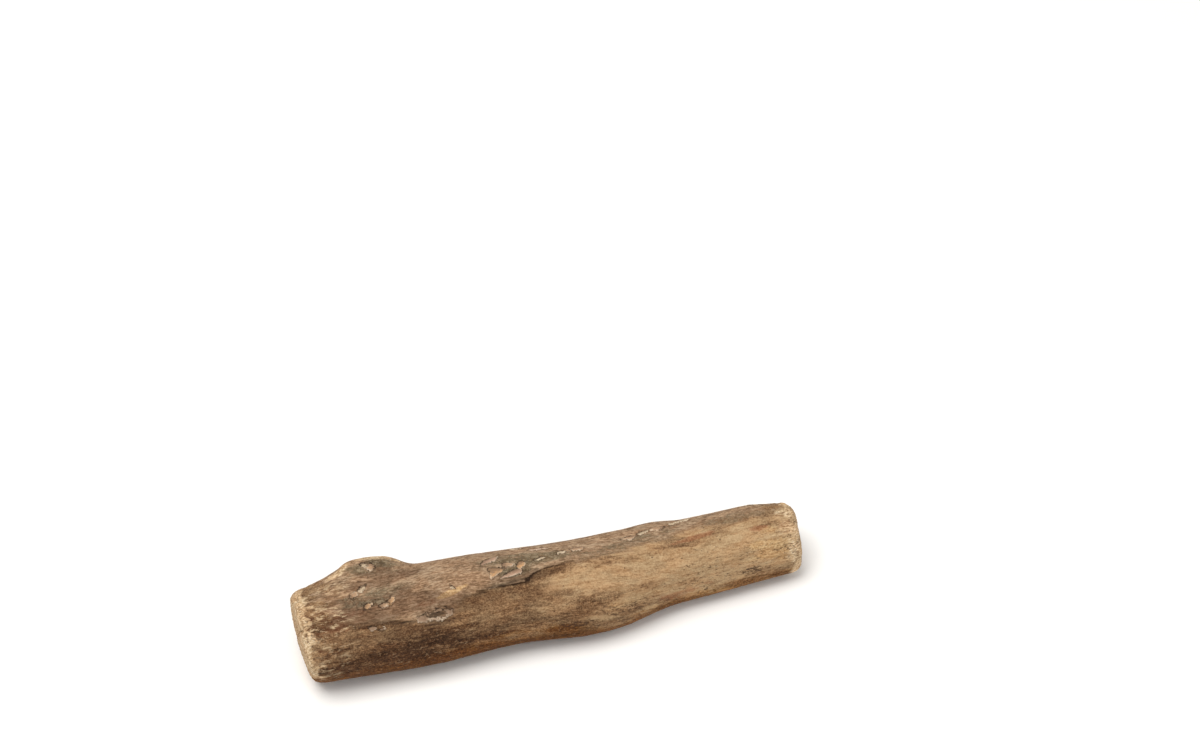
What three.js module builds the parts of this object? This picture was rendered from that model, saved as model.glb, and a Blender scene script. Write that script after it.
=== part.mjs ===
// A short length of driftwood limb, sawn square at both ends and rounded by water and sand.
// One grown piece, so one solid. Millimetres. +X runs along the limb from the thick end to the thin
// one, +Z is up, and the origin is at the middle of the footprint, on the surface it lies on.
import * as THREE from "three";

// Driving dimensions
const LENGTH = 152;
const MEAN_RADIUS = 14;
const EDGE_WEAR = 3.4; // radius worn on the sawn edges
const FACE_DOME = 0.7; // how far the worn end faces stand out at their middle
const RINGS_ALONG = 56;
const SEGMENTS = 60;
const CORNER_STEPS = 4;
const FACE_STEPS = 4;
const STEPS_BETWEEN_STATIONS = 24; // of the curves that run through the stations

// The limb's centre line and radius at a few places along it
const STATIONS = [
  { x: 0, y: 0.4, z: 14.2, radius: 13.6 },
  { x: 15, y: 0.1, z: 14.4, radius: 13.9 },
  { x: 39, y: 0.6, z: 14.3, radius: 14.3 },
  { x: 64, y: 0.5, z: 13.9, radius: 13.6 },
  { x: 89, y: 0.6, z: 13.0, radius: 13.1 },
  { x: 113, y: 3.3, z: 12.0, radius: 11.8 },
  { x: 133, y: 4.9, z: 11.6, radius: 11.3 },
  { x: 152, y: 5.8, z: 11.4, radius: 10.8 },
];

// How far the section departs from a circle: each term swells it at so many places round, by a
// share of the radius, with the first swelling at an angle that drifts along the limb.
const SECTION_WAVES = [
  { places: 2, share: 0.045, angle: 50, drift: 25 },
  { places: 3, share: 0.022, angle: 150, drift: -60 },
  { places: 4, share: 0.02, angle: 20, drift: 30 },
];

// Slow unevenness that runs over the whole flank, in millimetres: each term is a wave so long, that
// also turns so many times round the limb.
const UNEVENNESS = [
  { height: 0.2, wavelength: 105, turns: 3, phase: 40 },
  { height: 0.14, wavelength: 80, turns: -5, phase: 200 },
  { height: 0.14, wavelength: 44, turns: 1, phase: 310 },
];

// Forms that stand out of the limb or are worn into it. Angles go round from +Y through +Z, so 90
// is straight up; rise is in millimetres, and negative for a hollow. before and after are the
// form's half lengths towards the thick end and the thin end, and spread its half width in degrees.
// A form with a turn follows the grain: it moves round the limb by so many degrees a millimetre.
const FORMS = {
  // where branches grew
  collar: { x: 26, angle: 30, rise: 6.3, before: 10.5, after: 5.9, spread: 36 },
  collarShoulder: { x: 19.5, angle: 38, rise: 0.9, before: 4, after: 4, spread: 24 },
  collarEye: { x: 28, angle: 19, rise: -1.6, before: 4, after: 3.5, spread: 13 },
  collarLee: { x: 43, angle: 4, rise: -0.7, before: 6, after: 14, spread: 18 },
  pinKnot: { x: 109, angle: 8, rise: 1.9, before: 6, after: 5, spread: 24 },
  pinKnotEye: { x: 109, angle: 8, rise: -1.5, before: 2.8, after: 2.6, spread: 10 },
  // swellings and hollows of the flank
  bellySwelling: { x: 93, angle: 228, rise: 1.6, before: 18, after: 10, spread: 55 },
  waist: { x: 63, angle: 215, rise: -0.5, before: 13, after: 12, spread: 45 },
  backHollow: { x: 73, angle: -18, rise: -1.9, before: 26, after: 30, spread: 22 },
  soleArch: { x: 79, angle: 270, rise: -1.1, before: 17, after: 17, spread: 40 },
  // ridges and flutes that water wore along the grain
  crownRidge: { x: 53, angle: 88, rise: 0.6, before: 30, after: 38, spread: 12, turn: 0.12 },
  crownFlute: { x: 65, angle: 117, rise: -0.6, before: 38, after: 32, spread: 11, turn: 0.12 },
  shoulderRidge: { x: 107, angle: 143, rise: 0.5, before: 26, after: 24, spread: 12, turn: 0.1 },
  flankFlute: { x: 57, angle: 176, rise: -0.5, before: 30, after: 34, spread: 9, turn: 0.08 },
  shinFlute: { x: 125, angle: 185, rise: -0.5, before: 20, after: 22, spread: 11, turn: 0.1 },
  backRidge: { x: 61, angle: -42, rise: 1.0, before: 34, after: 30, spread: 10, turn: 0.16 },
  backFlute: { x: 53, angle: -66, rise: -0.9, before: 30, after: 34, spread: 10, turn: 0.14 },
  heelRidge: { x: 119, angle: -36, rise: 0.8, before: 22, after: 26, spread: 11, turn: 0.1 },
};

// Faces worn flat, each a plane through a point with its outward normal. What stands beyond a
// plane is worn back to it, by the share given.
const WORN_FACES = [
  { at: [27, 18.5, 19.7], normal: [-0.12, 0.94, 0.3], share: 0.85 }, // the collar's broken branch
  { at: [LENGTH - 4.1, 13.4, 18.4], normal: [0.8, 0.42, 0.42], share: 0.85 }, // thin end, upper corner
  { at: [2.6, -9.1, 3.0], normal: [-0.62, -0.6, -0.5], share: 0.7 }, // thick end, lower corner
  { at: [1.7, 9.4, 25.5], normal: [-0.7, 0.5, 0.5], share: 0.7 }, // thick end, upper corner
];
const WEAR_ROUNDING = 1.6; // how far a worn face runs out into the surface around it
// How far the sawn faces lean from square: the slope, and the angle towards which they stand out
const FACE_LEAN = {
  thickEnd: { slope: 0.08, towards: 60 },
  thinEnd: { slope: 0.05, towards: 235 },
};
const LEAN_FADE = 22; // the lean is spread over this length of the flank
const FOOT_DEPTH = 1.2; // worn off the underside, which leaves the flat that it rests on

const degrees = THREE.MathUtils.degToRad;

// A smooth curve through one value of the stations, read at any x
function alongStations(key) {
  const knots = STATIONS.map((s) => new THREE.Vector3(s.x, s[key], 0));
  const curve = new THREE.CatmullRomCurve3(knots, false, "centripetal");
  const samples = curve.getPoints((STATIONS.length - 1) * STEPS_BETWEEN_STATIONS);
  return (x) => {
    const next = samples.findIndex((p) => p.x >= x);
    if (next <= 0) return samples[next < 0 ? samples.length - 1 : 0].y;
    const [a, b] = [samples[next - 1], samples[next]];
    return THREE.MathUtils.mapLinear(x, a.x, b.x, a.y, b.y);
  };
}

const centreY = alongStations("y");
const centreZ = alongStations("z");
const radiusAt = alongStations("radius");

// 1 at the middle of a form, falling smoothly to 0 at its half length or half width
function bell(distance, half) {
  const t = Math.min(Math.abs(distance) / half, 1);
  return (1 + Math.cos(Math.PI * t)) / 2;
}

function turnsBetween(a, b) {
  return THREE.MathUtils.euclideanModulo(a - b + Math.PI, 2 * Math.PI) - Math.PI;
}

function formRise(form, x, angle) {
  const ahead = x - form.x;
  const lengthwise = bell(ahead, 2 * (ahead < 0 ? form.before : form.after));
  const middle = degrees(form.angle + (form.turn ?? 0) * ahead);
  const round = bell(turnsBetween(angle, middle), degrees(2 * form.spread));
  return form.rise * lengthwise * round;
}

// The distance from the centre line to the surface of the flank
function reach(x, angle) {
  const waves = SECTION_WAVES.reduce((sum, w) => {
    const phase = degrees(w.angle + (w.drift * x) / LENGTH);
    return sum + w.share * Math.cos(w.places * (angle - phase));
  }, 0);
  const uneven = UNEVENNESS.reduce((sum, u) => {
    const phase = (2 * Math.PI * x) / u.wavelength + degrees(u.phase);
    return sum + u.height * Math.sin(phase + u.turns * angle);
  }, 0);
  const forms = Object.values(FORMS).reduce((sum, f) => sum + formRise(f, x, angle), 0);
  return radiusAt(x) * (1 + waves) + uneven + forms;
}

// The half outline that is turned into the blank: out across one end face, round its worn edge,
// along the flank, and back in across the other end face.
function blankOutline() {
  const inner = MEAN_RADIUS - EDGE_WEAR;
  const points = [];
  for (let i = 0; i < FACE_STEPS; i++) {
    const r = (inner * i) / FACE_STEPS;
    points.push(new THREE.Vector2(r, FACE_DOME * (r / inner) ** 2));
  }
  for (let i = 0; i < CORNER_STEPS; i++) {
    const a = (Math.PI / 2) * (i / CORNER_STEPS);
    points.push(
      new THREE.Vector2(
        inner + EDGE_WEAR * Math.sin(a),
        FACE_DOME + EDGE_WEAR * (1 - Math.cos(a)),
      ),
    );
  }
  const start = FACE_DOME + EDGE_WEAR;
  for (let i = 0; i <= RINGS_ALONG / 2; i++) {
    const x = THREE.MathUtils.lerp(start, LENGTH / 2, (2 * i) / RINGS_ALONG);
    points.push(new THREE.Vector2(MEAN_RADIUS, x));
  }
  const mirrored = points.slice(0, -1).map((p) => new THREE.Vector2(p.x, LENGTH - p.y));
  return [...points, ...mirrored.reverse()];
}

// How far along the limb a point moves so that both sawn faces lean
function faceLean(x, r, angle) {
  const { thickEnd, thinEnd } = FACE_LEAN;
  const thick = bell(x, LEAN_FADE) * thickEnd.slope * Math.cos(angle - degrees(thickEnd.towards));
  const thin = bell(LENGTH - x, LEAN_FADE) * thinEnd.slope * Math.cos(angle - degrees(thinEnd.towards));
  return r * (thin - thick);
}

function wornBack(point, face) {
  const normal = new THREE.Vector3(...face.normal).normalize();
  const beyond = normal.dot(point) - normal.dot(new THREE.Vector3(...face.at));
  const worn = (beyond + Math.hypot(beyond, WEAR_ROUNDING)) / 2;
  return point.addScaledVector(normal, -worn * face.share);
}

// The turned blank with every point moved out to the limb's own section
function limbGeometry() {
  const geometry = new THREE.LatheGeometry(blankOutline(), SEGMENTS);
  const position = geometry.getAttribute("position");
  const point = new THREE.Vector3();
  for (let i = 0; i < position.count; i++) {
    point.fromBufferAttribute(position, i);
    const x = point.y;
    const share = Math.hypot(point.x, point.z) / MEAN_RADIUS;
    const angle = Math.atan2(point.x, point.z);
    const r = share * reach(x, angle);
    point.set(x, centreY(x) + r * Math.cos(angle), centreZ(x) + r * Math.sin(angle));
    point.x += faceLean(x, r, angle);
    WORN_FACES.forEach((face) => wornBack(point, face));
    position.setXYZ(i, point.x, point.y, point.z);
  }
  settle(geometry);
  return geometry;
}

// Wears the foot flat and brings the footprint's middle to the origin
function settle(geometry) {
  const position = geometry.getAttribute("position");
  geometry.computeBoundingBox();
  const floor = geometry.boundingBox.min.z + FOOT_DEPTH;
  for (let i = 0; i < position.count; i++) {
    position.setZ(i, Math.max(position.getZ(i), floor));
  }
  geometry.computeBoundingBox();
  const { min, max } = geometry.boundingBox;
  geometry.translate(-(min.x + max.x) / 2, -(min.y + max.y) / 2, -min.z);
  geometry.deleteAttribute("uv");
  geometry.computeVertexNormals();
}

const weatheredWood = new THREE.MeshStandardMaterial({
  name: "weathered_wood",
  color: 0x8f7355,
  roughness: 0.85,
  metalness: 0,
});

const limb = new THREE.Mesh(limbGeometry(), weatheredWood);
limb.name = "driftwood";

const driftwood = new THREE.Group();
driftwood.add(limb);

export default driftwood;
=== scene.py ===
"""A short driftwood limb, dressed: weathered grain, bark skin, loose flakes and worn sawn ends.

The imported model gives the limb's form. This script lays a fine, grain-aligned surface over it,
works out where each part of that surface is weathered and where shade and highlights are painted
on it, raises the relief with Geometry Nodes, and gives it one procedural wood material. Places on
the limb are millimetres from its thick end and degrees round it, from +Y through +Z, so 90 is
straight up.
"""

import logging
import math
from dataclasses import dataclass, field
from enum import Enum
from functools import cached_property

import bpy
import numpy as np
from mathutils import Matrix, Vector, noise
from mathutils.bvhtree import BVHTree


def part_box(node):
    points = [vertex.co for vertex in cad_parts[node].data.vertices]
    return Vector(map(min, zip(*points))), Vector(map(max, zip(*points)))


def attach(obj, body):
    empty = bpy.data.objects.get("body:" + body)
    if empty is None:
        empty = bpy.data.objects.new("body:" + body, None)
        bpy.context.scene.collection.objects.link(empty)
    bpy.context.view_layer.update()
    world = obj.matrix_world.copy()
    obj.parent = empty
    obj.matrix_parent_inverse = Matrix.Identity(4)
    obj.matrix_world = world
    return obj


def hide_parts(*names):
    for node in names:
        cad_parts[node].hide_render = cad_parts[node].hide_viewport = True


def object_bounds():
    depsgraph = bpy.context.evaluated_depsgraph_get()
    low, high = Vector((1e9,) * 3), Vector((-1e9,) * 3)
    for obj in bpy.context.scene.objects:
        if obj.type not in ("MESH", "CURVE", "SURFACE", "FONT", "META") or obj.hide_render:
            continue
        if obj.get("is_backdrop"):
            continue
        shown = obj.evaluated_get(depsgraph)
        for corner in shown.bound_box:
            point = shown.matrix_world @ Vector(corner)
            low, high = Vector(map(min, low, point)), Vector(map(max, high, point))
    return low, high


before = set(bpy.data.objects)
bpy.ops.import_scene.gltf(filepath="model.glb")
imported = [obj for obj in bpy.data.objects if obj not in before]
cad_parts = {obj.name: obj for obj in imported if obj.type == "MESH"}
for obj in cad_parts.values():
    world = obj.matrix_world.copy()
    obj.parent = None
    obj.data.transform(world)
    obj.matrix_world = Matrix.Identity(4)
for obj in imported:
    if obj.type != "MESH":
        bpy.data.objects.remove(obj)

log = logging.getLogger("driftwood")

MM = 0.001
FULL_TURN = 360.0
NODE = "driftwood"
SLOT = "weathered_wood"
GRAIN = "grain"

Colour = tuple[int, int, int]


class Mask(Enum):
    """What a part of the surface is like, as a number from 0 to 1 on every vertex."""

    # stain; on the side the limb lies on it is partly painted shade
    STAIN = "stain"
    BARE = "bare"
    WORN = "worn"
    END_GRAIN = "end_grain"
    GREY = "grey"
    # painted shade: the crevice under the skin's edge, the slot in the hollow and a drying check
    SLATE = "slate"
    GOLD = "gold"
    BLUSH = "blush"
    FLECK = "fleck"
    FRAY = "fray"
    DULL = "dull"
    # painted shade and warm bounce light on the side that the limb lies on
    UNDER = "under"
    CRISP = "crisp"
    FLANK = "flank"
    # each flake's tilt: it raises the flake, paints shade on its low side and a highlight on its
    # lifted rim
    LIFT = "lift"
    FLAKE_TONE = "flake_tone"


class Edge(Enum):
    """How far a point is inside an edge, in millimetres, and less than zero outside it."""

    SKIN = "skin_edge"
    FLAKE = "flake_edge"
    CRACK = "crack_edge"


class Tone(Enum):
    """The colour of a flake's top, as a place on the flake colour ramp."""

    DUSKY = 0.0
    PINK = 0.25
    PEACH = 0.5
    ORANGE = 0.75
    CREAM = 1.0


@dataclass(frozen=True)
class Patch:
    """A soft oval on the flank: its middle, its half sizes, and how it slopes round the limb."""

    mask: Mask
    along: float
    round: float
    half_along: float
    half_round: float
    strength: float = 1.0
    ragged: float = 0.5
    slope: float = 0.0


@dataclass(frozen=True)
class Flake:
    """A loose scrap of bark skin: its middle, its size in millimetres, its turn and its corners.

    Its hole is the share of its size that is open in the middle.
    """

    along: float
    round: float
    length: float
    width: float
    tone: Tone
    turn: float = 0.0
    corners: int = 6
    hole: float = 0.0


@dataclass(frozen=True)
class Knot:
    """A place that the grain flows round, with the radius that it keeps clear, in millimetres."""

    along: float
    round: float
    radius: float


@dataclass(frozen=True)
class Crack:
    """A drying crack in an end face: its direction, its inner and outer radius and its width."""

    thick_end: bool
    towards: float
    inner: float
    outer: float
    width: float


@dataclass(frozen=True)
class Swell:
    """A slight swelling, or a dip if its height is below zero, and its reach to the thin end."""

    along: float
    round: float
    half_along: float
    half_round: float
    height: float
    ahead: float = 0.0


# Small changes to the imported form, at the thin end's upper corner and at the collar's crest
SWELLS = (
    Swell(149, 60, 9, 62, 0.0, 1.6),
    Swell(145, 46, 9, 34, -0.9),
    Swell(27, 40, 6, 26, -0.5),
    Swell(18.5, 46, 4, 24, 0.5),
)

# The core line that the limb is unrolled about: millimetres from the thick end, then Y and Z
CORE_LINE = (
    (0, -2.0, 14.3),
    (15, -2.3, 14.5),
    (39, -1.8, 14.4),
    (64, -1.9, 14.0),
    (89, -1.8, 13.1),
    (113, 0.9, 12.1),
    (133, 2.5, 11.7),
    (152, 3.4, 11.5),
)

# The near edge of the bark skin that is left along the crown, and its edge on the far side
SKIN_NEAR_EDGE = (
    (0, 118), (15, 122), (23, 126), (31, 131), (39, 137), (44, 136), (46, 126), (49, 114),
    (55, 112), (63, 109), (68, 106), (72, 99), (78, 96), (87, 93), (94, 91), (99, 94),
    (105, 89), (113, 84), (125, 79), (134, 86), (141, 80), (152, 66),
)
SKIN_FAR_EDGE = (
    (0, -30), (20, -46), (46, -38), (71, -54), (92, -30), (112, 2), (128, 16), (152, 22),
)

# How crisp the near edge of the skin is along the limb, from 0, fading out, to 1, lifted
EDGE_CRISPNESS = (
    (0, 0.1), (18, 0.15), (30, 0.4), (40, 0.3), (44, 0.0), (50, 0.1), (54, 0.9), (72, 1.0),
    (80, 0.45), (90, 0.2), (110, 0.1), (125, 0.0), (152, 0.0),
)

# How many degrees the grain has turned round the limb, at places along it
GRAIN_TURN = ((0, 0), (38, 0), (56, 7), (86, 9), (118, 36), (152, 40))

KNOTS = (Knot(27, 26, 6.5), Knot(109, 8, 3.2), Knot(48, 262, 1.6))

PATCHES = (
    # dark stained wood below the skin at the thick end
    Patch(Mask.STAIN, 32, 184, 36, 42, 0.95, 1.1),
    Patch(Mask.STAIN, 60, 168, 20, 18, 0.55, 1.3),
    Patch(Mask.STAIN, 18, 168, 12, 12, 0.5, 1.2),
    Patch(Mask.STAIN, 77, 168, 11, 16, 0.6, 1.4),
    Patch(Mask.STAIN, 114, 170, 12, 9, 0.3, 1.4),
    Patch(Mask.STAIN, 84, 190, 20, 14, 0.4, 1.4),
    Patch(Mask.STAIN, 30, 140, 14, 6, 0.6, 1.2),
    Patch(Mask.STAIN, 120, 208, 30, 12, 0.35, 1.3),
    Patch(Mask.STAIN, 144, 200, 16, 20, 0.5, 1.6),
    # bare wood towards the thin end
    Patch(Mask.BARE, 127, 146, 46, 76, 1.0, 0.6),
    Patch(Mask.BARE, 93, 124, 26, 34, 0.8, 0.8),
    Patch(Mask.BARE, 97, 172, 16, 18, 0.55, 1.1),
    Patch(Mask.BARE, 128, -26, 42, 44, 0.85, 1.1),
    # grey-green crust round the flakes
    Patch(Mask.GREY, 64, 82, 10, 20, 0.95, 0.9),
    Patch(Mask.GREY, 75, 80, 13, 13, 0.8, 0.9),
    Patch(Mask.GREY, 92, 84, 12, 8, 0.6, 0.9),
    Patch(Mask.GREY, 105, 76, 11, 12, 0.65, 0.9),
    Patch(Mask.GREY, 25, 56, 9, 9, 0.8, 1.0),
    Patch(Mask.GREY, 31, 66, 6, 8, 0.35, 1.0),
    Patch(Mask.GREY, 24, 92, 10, 13, 0.6, 0.9),
    Patch(Mask.GREY, 24, 102, 7, 7, 0.8, 0.8),
    Patch(Mask.GREY, 131, 84, 12, 10, 0.5, 0.9),
    Patch(Mask.GREY, 47, 250, 16, 20, 0.6, 0.9),
    Patch(Mask.GREY, 86, -26, 18, 10, 0.5, 1.2),
    Patch(Mask.GREY, 122, 30, 12, 9, 0.45, 1.2),
    # painted shade: a slate-dark line in the crevice under the skin's edge, and the dark slot in
    # the little hollow
    Patch(Mask.SLATE, 32, 133, 13, 3.4, 0.75, 0.7, 0.28),
    Patch(Mask.SLATE, 40.0, 131, 3.4, 5.0, 1.0, 0.4),
    Patch(Mask.SLATE, 60, 109, 13, 2.4, 0.7, 0.7, -0.35),
    Patch(Mask.SLATE, 75, 95, 7, 2.4, 0.6, 0.7, -0.5),
    Patch(Mask.SLATE, 17, 100, 7, 3, 0.5, 0.8, 0.2),
    # a fine drying check in the bare wood, darkened with painted shade
    Patch(Mask.SLATE, 92, 151, 18, 1.8, 0.6, 0.6),
    # yellow streaks of new wood
    Patch(Mask.GOLD, 45.5, 108.5, 6, 5, 1.0, 0.5, -1.0),
    Patch(Mask.GOLD, 8, 102, 5, 20, 0.25, 0.9),
    Patch(Mask.GOLD, 98, 168, 14, 10, 0.4, 0.9),
    Patch(Mask.GOLD, 84, 120, 18, 14, 0.2, 1.2),
    Patch(Mask.GOLD, 143, 140, 12, 44, 0.65, 0.9),
    # reddish spots
    Patch(Mask.BLUSH, 118, 99, 8, 6, 0.75, 0.9),
    Patch(Mask.BLUSH, 139, 108, 4, 6, 0.95, 0.9),
    Patch(Mask.BLUSH, 147, 112, 3, 8, 0.8, 0.9),
    Patch(Mask.BLUSH, 42, 117, 6, 8, 0.7, 0.9),
    Patch(Mask.BLUSH, 14, 122, 9, 16, 0.6, 1.0),
    Patch(Mask.BLUSH, 112, 190, 14, 9, 0.7, 0.9),
    Patch(Mask.BLUSH, 130, 160, 8, 8, 0.4, 0.9),
    # patches where the skin and wood are darker
    Patch(Mask.DULL, 26, 112, 24, 26, 1.0, 0.8),
    Patch(Mask.DULL, 42, 122, 14, 16, 0.85, 0.8),
    Patch(Mask.DULL, 66, 102, 14, 11, 1.0, 0.8),
    Patch(Mask.DULL, 62, 126, 18, 18, 0.5, 0.9),
    Patch(Mask.DULL, 30, 142, 18, 14, 0.7, 0.9),
    Patch(Mask.DULL, 26, 176, 24, 22, 0.9, 0.9),
    Patch(Mask.DULL, 28, 72, 12, 18, 0.8, 0.9),
    Patch(Mask.DULL, 84, 26, 44, 14, 0.8, 1.4),
    Patch(Mask.DULL, 52, -10, 26, 14, 0.7, 1.4),
    # pale worn crests along the collar's broken edge, and pale places by the ends
    Patch(Mask.WORN, 26, 46, 9, 7, 1.0, 0.4),
    Patch(Mask.WORN, 15.5, 50, 5, 7, 0.9, 0.6),
    Patch(Mask.WORN, 11.5, 68, 6, 14, 0.4, 1.1),
    Patch(Mask.WORN, 141, 46, 8, 7, 0.8, 0.9),
    Patch(Mask.WORN, 147, 108, 6, 26, 0.6, 1.0),
    Patch(Mask.WORN, 151, 150, 5, 70, 0.8, 0.7),
    Patch(Mask.WORN, 96, 14, 12, 4, 0.5, 1.5),
    Patch(Mask.WORN, 62, 22, 9, 4, 0.45, 1.5),
    # where dark specks gather
    Patch(Mask.FLECK, 4, 130, 5, 90, 0.5, 1.0),
    Patch(Mask.FLECK, 83.5, 184, 8, 9, 1.0, 0.7),
    Patch(Mask.FLECK, 95, 176, 13, 14, 0.75, 0.9),
    Patch(Mask.FLECK, 14, 112, 14, 22, 0.4, 0.9),
    Patch(Mask.FLECK, 32, 165, 26, 34, 0.35, 0.9),
    Patch(Mask.FLECK, 120, 199, 4, 8, 1.0, 0.7),
    Patch(Mask.FLECK, 135, 184, 6, 8, 0.9, 0.8),
    Patch(Mask.FLECK, 127, 160, 26, 44, 0.45, 0.9),
    Patch(Mask.FLECK, 146, 150, 6, 30, 0.7, 0.9),
    # frayed fibres just inside the sawn ends
    Patch(Mask.FRAY, 9, 112, 8, 46, 1.0, 0.9),
    Patch(Mask.FRAY, 8, 178, 5, 34, 0.6, 0.9),
    Patch(Mask.FRAY, 8, 10, 6, 60, 0.7, 0.9),
    Patch(Mask.FRAY, 8, 260, 6, 50, 0.6, 0.9),
    Patch(Mask.FRAY, 146, 110, 5, 70, 0.35, 0.9),
)

FLAKES = (
    # the main group
    Flake(59.2, 93.2, 4.6, 3.0, Tone.ORANGE, 2, 3),
    Flake(57.8, 73, 6.0, 2.4, Tone.PINK, 24, 7),
    Flake(62.8, 84.5, 4.0, 2.0, Tone.PEACH, 6),
    Flake(66.8, 88.5, 3.8, 2.4, Tone.ORANGE, 24, 5),
    Flake(63.8, 98.0, 7.6, 1.5, Tone.PINK, 8, 7),
    Flake(72.9, 83.0, 3.4, 1.5, Tone.CREAM, 0, 4),
    Flake(67.1, 47, 6.4, 1.6, Tone.CREAM, 4, 7),
    Flake(72.8, 59, 7.0, 1.8, Tone.PINK, 2, 7),
    Flake(79.6, 75.5, 3.4, 1.7, Tone.CREAM, 4, 5),
    Flake(84.2, 73.5, 4.4, 2.1, Tone.PEACH, 6, 7),
    # along the crown towards the thin end
    Flake(100.4, 71.5, 4.8, 2.6, Tone.PEACH, 18, 7),
    Flake(105.0, 66.0, 5.4, 2.3, Tone.CREAM, 12, 5),
    Flake(110.0, 63.0, 5.0, 2.4, Tone.PEACH, 8, 7),
    Flake(114.0, 59.0, 3.0, 2.2, Tone.CREAM, 20, 5),
    Flake(117.6, 53.5, 6.6, 2.3, Tone.CREAM, 14, 7),
    Flake(139.5, 54.0, 7.6, 1.4, Tone.CREAM, 4, 8),
    # below the collar
    Flake(20.6, 81.5, 3.5, 1.5, Tone.CREAM, 24, 5),
    Flake(17.8, 86.5, 3.6, 1.3, Tone.PEACH, 14, 7),
    Flake(21.4, 103.3, 3.6, 1.9, Tone.ORANGE, 6, 5),
    Flake(28.1, 103.6, 2.6, 2.0, Tone.ORANGE, 20, 5),
    Flake(25.8, 107.6, 3.2, 1.2, Tone.PEACH, 4),
    Flake(24.4, 59.5, 2.2, 2.4, Tone.PEACH, 10, 4),
    Flake(22.6, 57.0, 1.8, 1.7, Tone.CREAM, 0, 5),
    Flake(21.6, 133, 3.0, 1.6, Tone.DUSKY, 0),
    Flake(24.4, 136, 2.4, 1.1, Tone.DUSKY, 10, 5),
    Flake(40.2, 131.0, 11.6, 4.2, Tone.DUSKY, 6, 9, 0.62),
    Flake(35.6, 134.0, 4.2, 2.0, Tone.DUSKY, 8, 7),
    Flake(45.8, 103, 1.8, 1.4, Tone.CREAM, 0, 4),
    # on the far side and below
    Flake(59.0, -6, 7.5, 1.8, Tone.DUSKY, -6, 8),
    Flake(66.0, -14, 4.6, 1.5, Tone.PINK, 10, 7),
    Flake(88.0, -22, 6.0, 1.5, Tone.PEACH, 4, 7),
    Flake(45.0, 256, 5.6, 1.8, Tone.PEACH, 10, 7),
    Flake(99.0, 258, 5.4, 1.4, Tone.PINK, 4, 7),
)

CRACKS = (
    Crack(True, 62, 0.8, 13.5, 0.22),
    Crack(True, 171, 1.5, 9.0, 0.14),
    Crack(True, 300, 1.2, 12.5, 0.19),
    Crack(True, 232, 6.0, 11.0, 0.1),
    Crack(True, 118, 7.0, 12.5, 0.12),
    Crack(True, 20, 5.5, 12.0, 0.1),
    Crack(False, 68, 0.8, 9.5, 0.18),
    Crack(False, 205, 1.5, 6.5, 0.13),
    Crack(False, 318, 1.0, 10.5, 0.2),
    Crack(False, 108, 5.0, 9.0, 0.1),
    Crack(False, 262, 5.5, 9.8, 0.1),
)


def smoothstep(low: float, high: float, value: np.ndarray) -> np.ndarray:
    """Rises smoothly from 0 at low to 1 at high, or falls where low is the larger."""
    t = np.clip((value - low) / (high - low), 0.0, 1.0)
    return t * t * (3.0 - 2.0 * t)


def turn_between(degrees: np.ndarray, middle: float | np.ndarray) -> np.ndarray:
    """The signed turn from middle to each angle, from -180 to 180 degrees."""
    return (degrees - middle + FULL_TURN / 2) % FULL_TURN - FULL_TURN / 2


def blurred(values: np.ndarray, sigma: float, axis: int, cyclic: bool) -> np.ndarray:
    """Smooths a grid along one axis with a Gaussian.

    Args:
        values: The grid.
        sigma: The Gaussian's width, in grid steps.
        axis: The axis to smooth along.
        cyclic: Whether the axis closes on itself; otherwise its end values are held.

    Returns:
        The smoothed grid, of the same shape.
    """
    reach = int(math.ceil(3 * sigma))
    steps = np.arange(-reach, reach + 1)
    weights = np.exp(-0.5 * (steps / sigma) ** 2)
    weights /= weights.sum()
    pad = [(0, 0)] * values.ndim
    pad[axis] = (reach, reach)
    padded = np.pad(values, pad, mode="wrap" if cyclic else "edge")
    count = values.shape[axis]
    return sum(
        w * np.take(padded, np.arange(i, i + count), axis=axis) for i, w in enumerate(weights)
    )


def depth_inside(x: np.ndarray, y: np.ndarray, corners: np.ndarray) -> np.ndarray:
    """How far each point is inside a closed outline, and less than zero outside it.

    Args:
        x: The points' first coordinates.
        y: Their second coordinates.
        corners: The outline's corners in order, a row for each.

    Returns:
        The distance to the outline for each point, with its sign.
    """
    nearest = np.full_like(x, np.inf)
    inside = np.zeros(x.shape, bool)
    for (x0, y0), (x1, y1) in zip(corners, np.roll(corners, -1, axis=0)):
        dx, dy = x1 - x0, y1 - y0
        share = np.clip(((x - x0) * dx + (y - y0) * dy) / (dx * dx + dy * dy), 0.0, 1.0)
        nearest = np.minimum(nearest, np.hypot(x - x0 - share * dx, y - y0 - share * dy))
        level = (y0 > y) != (y1 > y)
        inside ^= level & (x < x0 + (y - y0) * dx / (dy if dy else 1.0))
    return np.where(inside, nearest, -nearest)


def srgb(colour: Colour) -> tuple[float, float, float, float]:
    """A display colour from 0 to 255 as the linear colour that a shader takes."""
    def linear(channel: int) -> float:
        """One channel, linear."""
        c = channel / 255.0
        return c / 12.92 if c <= 0.04045 else ((c + 0.055) / 1.055) ** 2.4

    return (*(linear(c) for c in colour), 1.0)


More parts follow.
